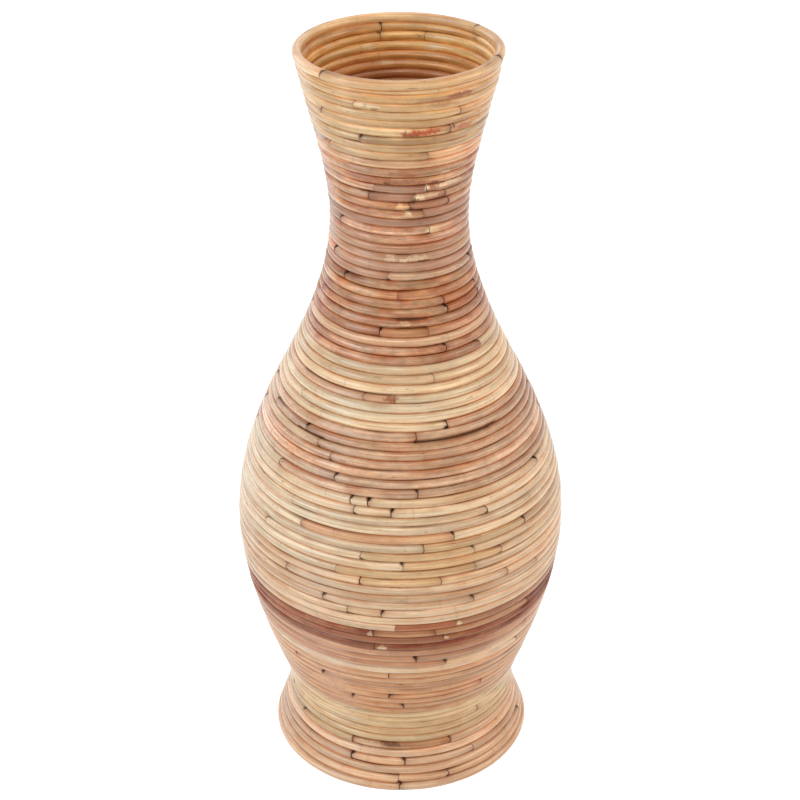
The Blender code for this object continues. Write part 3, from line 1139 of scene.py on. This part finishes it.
def cane_skin():
    """Skin of a cane: its own tint with fibre streaks, dashes, brown and pale lines and dark flecks,
    and painted light in the grooves, which makes them lighter and rosier against their shade. A dark place
    has no gloss."""
    made, tree, shader = new_material("cane_skin")
    place, tint, grain = attribute(tree, "fibre"), attribute(tree, "tint"), attribute(tree, "grain", "Fac")
    noises = {name: noise(tree, place, *values) for name, values in SKIN_NOISES.items()}
    fine, line = noises["fine"], noises["line"]
    dashes = mixed(tree, ranged(tree, grain, *DASHED_GRAIN), 1.0, ranged(tree, noises["dash"], *DASH_TONE))
    tones = (ranged(tree, fine, *FINE_TONE), ranged(tree, noises["soft"], *SOFT_TONE))
    tone = product(tree, *tones, ranged(tree, noises["streak"], *STREAK_TONE), dashes)
    colour = scaled(tree, tint, tone)
    browner = tinted(tree, colour, BROWNER)
    for share in (ranged(tree, noises["slow"], *SLOW_BROWN), ranged(tree, line, *LINE_BROWN)):
        colour = blended(tree, product(tree, grain, share), colour, browner)
    colour = blended(tree, ranged(tree, line, *LINE_PALE), colour, tinted(tree, colour, PALER))
    colour = blended(tree, ranged(tree, noises["fleck"], *FLECKED), colour, tinted(tree, colour, FLECK))
    # Painted light that makes the grooves lighter and rosier, against their shade
    groove = ranged(tree, maths(tree, "ABSOLUTE", axis_of(tree, place, "Y")), *IN_GROOVE)
    colour = blended(tree, groove, colour, tinted(tree, colour, GROOVE_PAINTED_LIGHT))
    tree.links.new(colour, shader.inputs["Base Color"])
    green = axis_of(tree, tint, "Y")
    tree.links.new(ranged(tree, green, *COATED), shader.inputs["Coat Weight"])
    shader.inputs["Coat Roughness"].default_value = 0.2
    rough = maths(tree, "ADD", ranged(tree, fine, *ROUGHNESS), ranged(tree, green, *PIT_ROUGHNESS))
    tree.links.new(rough, shader.inputs["Roughness"])
    bump(tree, shader, fine, strength=0.35, distance=0.0002)
    return made


def cane_end():
    """Cut end of a cane: brown pith with open pores."""
    made, tree, shader = new_material("cane_end")
    place, tint = attribute(tree, "fibre"), attribute(tree, "tint")
    pores = ranged(tree, noise(tree, place, *PORE_NOISE), *POROUS)
    colour = blended(tree, pores, tinted(tree, tint, PITH), tinted(tree, tint, PORE))
    tree.links.new(colour, shader.inputs["Base Color"])
    shader.inputs["Roughness"].default_value = 0.9
    return made


def plywood():
    """Plywood board: straight veneer grain on its faces, and plies round its edge."""
    made, tree, shader = new_material("plywood_grain")
    place = object_place(tree)
    grain = noise(tree, place, *VEIN_NOISE)
    cloud = noise(tree, place, *CLOUD_NOISE)
    face = blended(tree, ranged(tree, grain, *VEINED), VENEER, VEIN)
    face = blended(tree, ranged(tree, cloud, *CLOUDED), face, CLOUD)
    glue = ranged(tree, maths(tree, "MODULO", axis_of(tree, place, "Z"), PLY), *GLUED)
    normal = new_node(tree, "ShaderNodeNewGeometry").outputs["True Normal"]
    flat = maths(tree, "ABSOLUTE", axis_of(tree, normal, "Z"))
    edge = product(tree, ranged(tree, flat, *ON_EDGE), glue)
    tree.links.new(blended(tree, edge, face, GLUE), shader.inputs["Base Color"])
    tree.links.new(ranged(tree, grain, *BOARD_ROUGHNESS), shader.inputs["Roughness"])
    bump(tree, shader, grain, strength=0.3, distance=0.0003)
    return made


def base_hoop(materials):
    """The hoop under the base panel, one cane bent round with its ends meeting."""
    low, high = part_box("base_hoop")
    radius = (high.x - low.x) / 2 - SOLID_DIAMETER / 2 - HOOP_CLEAR
    height = (low.z + high.z) / 2
    length = math.tau * radius - JOINT_GAP
    cane = Cane(BASE_HOOP_NUMBER, 0.0, length, "pink_tan", (JOINT_GAP, JOINT_GAP))
    strand = Strand("base_hoop_cane", length)
    angle = math.radians(HOOP_JOINT) + cane.run[:, None] / radius
    thick = (SOLID_DIAMETER / 2 * HOOP_GIRTH * cane.cut)[:, None]
    across, up = OUT_SHARE * thick, UP_SHARE * thick
    reach = radius + across
    places = np.stack([reach * np.cos(angle), reach * np.sin(angle), height + up], -1)
    lengthwise = np.broadcast_to(cane.fibre_start + cane.run[:, None], across.shape)
    fibre = np.stack([across, up, lengthwise], -1)
    tint = np.broadcast_to(cane.light * HOOP_SHADE, (*across.shape, 3))
    strand.add(cane, places[:, ::-1], fibre[:, ::-1], tint)
    shown_for(strand.made(materials), "base_hoop")


def seen_white(tree):
    """1 for rays from the camera and for reflections and refractions, which see the white studio."""
    path = new_node(tree, "ShaderNodeLightPath").outputs
    mirrored = maths(tree, "MAXIMUM", path["Is Glossy Ray"], path["Is Transmission Ray"])
    return maths(tree, "MAXIMUM", path["Is Camera Ray"], mirrored)


def floor():
    """A plain pale floor that looks white where nothing shades it."""
    mesh = bpy.data.meshes.new("floor")
    corners = [(x * FLOOR_REACH, y * FLOOR_REACH, 0) for x, y in ((-1, -1), (1, -1), (1, 1), (-1, 1))]
    mesh.from_pydata(corners, [], [(0, 1, 2, 3)])
    material, tree, shader = new_material("pale_floor")
    shader.inputs["Base Color"].default_value = FLOOR_GREY
    shader.inputs["Roughness"].default_value = 1.0
    shader.inputs["Specular IOR Level"].default_value = 0.0
    glow = new_node(tree, "ShaderNodeEmission", {"Color": WHITE, "Strength": FLOOR_GLOW})
    inputs = {0: object_place(tree)}
    away = new_node(tree, "ShaderNodeVectorMath", inputs, operation="LENGTH").outputs["Value"]
    open_floor = maths(tree, "GREATER_THAN", away, FOOT_INSIDE)
    lifted = new_node(tree, "ShaderNodeMixShader", {0: product(tree, seen_white(tree), open_floor)})
    both = new_node(tree, "ShaderNodeAddShader", {0: shader.outputs[0], 1: glow.outputs[0]})
    tree.links.new(shader.outputs[0], lifted.inputs[1])
    tree.links.new(both.outputs[0], lifted.inputs[2])
    tree.links.new(lifted.outputs[0], tree.nodes["Material Output"].inputs["Surface"])
    mesh.materials.append(material)
    placed("floor", mesh)


def studio():
    """Soft light all round, white behind the object to the camera."""
    world = bpy.data.worlds.new("studio")
    bpy.context.scene.world = world
    world.use_nodes = True
    tree = world.node_tree
    tree.nodes.clear()
    fill = new_node(tree, "ShaderNodeBackground", {"Color": FILL, "Strength": FILL_STRENGTH})
    white = new_node(tree, "ShaderNodeBackground", {"Color": WHITE, "Strength": 1.0})
    inputs = {0: seen_white(tree), 1: fill.outputs[0], 2: white.outputs[0]}
    mix = new_node(tree, "ShaderNodeMixShader", inputs)
    output = new_node(tree, "ShaderNodeOutputWorld", {"Surface": mix.outputs[0]})
    output.is_active_output = True


def lamp(name, place, aim_height, size, power, colour):
    """A round lamp that faces the vase's axis at a height."""
    data = bpy.data.lights.new(name, "AREA")
    data.shape = "DISK"
    data.color = colour
    data.size = size
    data.energy = power
    away = np.array(place) - np.array((0, 0, aim_height))
    away = away / np.linalg.norm(away)
    side = np.cross((0, 0, 1), away)
    side = side / np.linalg.norm(side)
    up = np.cross(away, side)
    rows = [[side[row], up[row], away[row], place[row]] for row in range(3)]
    placed(name, data).matrix_world = Matrix([*rows, [0, 0, 0, 1]])


def camera():
    """The camera at the photograph's angle."""
    data = bpy.data.cameras.new("camera")
    data.sensor_width = SENSOR_WIDTH
    data.lens = SENSOR_WIDTH * FOCAL_PIXELS / FRAME_PIXELS
    made = placed("camera", data)
    tilt = Matrix.Rotation(math.radians(90 - CAMERA_TILT), 4, "X")
    roll = Matrix.Rotation(math.radians(-CAMERA_ROLL), 4, "Z")
    made.matrix_world = Matrix.Translation(CAMERA_PLACE) @ tilt @ roll
    bpy.context.scene.camera = made


def main():
    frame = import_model()
    camera()
    studio()
    for values in LAMPS:
        lamp(*values)
    floor()
    materials = (cane_skin(), cane_end())
    spiral(materials)
    foot = (FOOT_JOINTS, 0.0, ("pink_tan", "pink_tan"), "pink_tan")
    level_course("foot_ring_cane", *foot, materials, FOOT_RING_NUMBER)
    rim = (RIM_JOINTS, WALL.length, ("rim_gold", "light_rim", "rim_gold"), "golden_tan")
    level_course("mouth_rim_cane", *rim, materials, MOUTH_RIM_NUMBER)
    base_hoop(materials)
    panel = frame["nodes"]["base_panel"]
    panel.data.materials.clear()
    panel.data.materials.append(plywood())
    bpy.context.scene.view_settings.view_transform = "Standard"


main()
